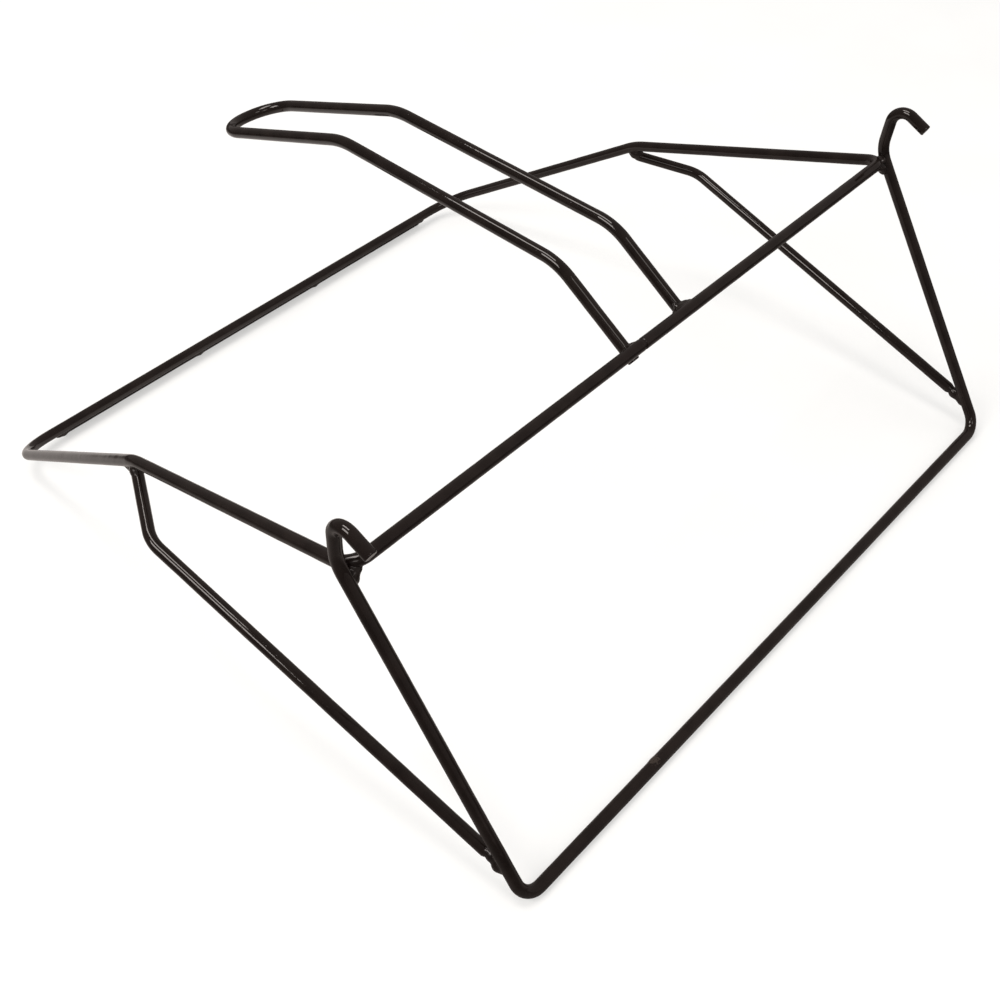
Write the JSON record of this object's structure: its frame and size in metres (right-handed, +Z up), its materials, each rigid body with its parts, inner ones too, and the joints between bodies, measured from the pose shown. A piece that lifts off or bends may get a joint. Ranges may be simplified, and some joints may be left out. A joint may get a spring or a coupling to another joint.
{
  "type": "hook-on wire rack",
  "caption": "Hook-on rack of welded round rod: hooked back frame, braced sloping shelf loop and a central arm that reaches over the shelf to hold a load.",
  "frame": {"origin": "on the floor under the middle of the rack's bounding box, the rack standing on its bottom bar and on the stiffener rod under its outer bar", "axes": "+X along the bars, from the left side to the right; +Y from the hooks towards the outer bar; +Z up"},
  "size_m": [0.5692, 0.5452, 0.2443],
  "materials": {
    "rod_enamel": "gloss black enamel over round steel rod",
    "weld_enamel": "gloss black enamel over weld metal"
  },
  "bodies": {
    "root": {"hook_frame": "rod_enamel", "shelf_loop": "rod_enamel", "retaining_arm": "rod_enamel", "brace_left": "rod_enamel", "brace_right": "rod_enamel", "edge_rod": "rod_enamel", "weld_butt": "weld_enamel", "weld_corner_left": "weld_enamel", "weld_corner_right": "weld_enamel", "weld_brace_top_left": "weld_enamel", "weld_brace_top_right": "weld_enamel", "weld_brace_foot_left": "weld_enamel", "weld_brace_foot_right": "weld_enamel", "weld_retainer_left": "weld_enamel", "weld_retainer_right": "weld_enamel", "weld_tack_1": "weld_enamel", "weld_tack_2": "weld_enamel", "weld_tack_3": "weld_enamel", "weld_tack_4": "weld_enamel"}
  },
  "joints": []
}
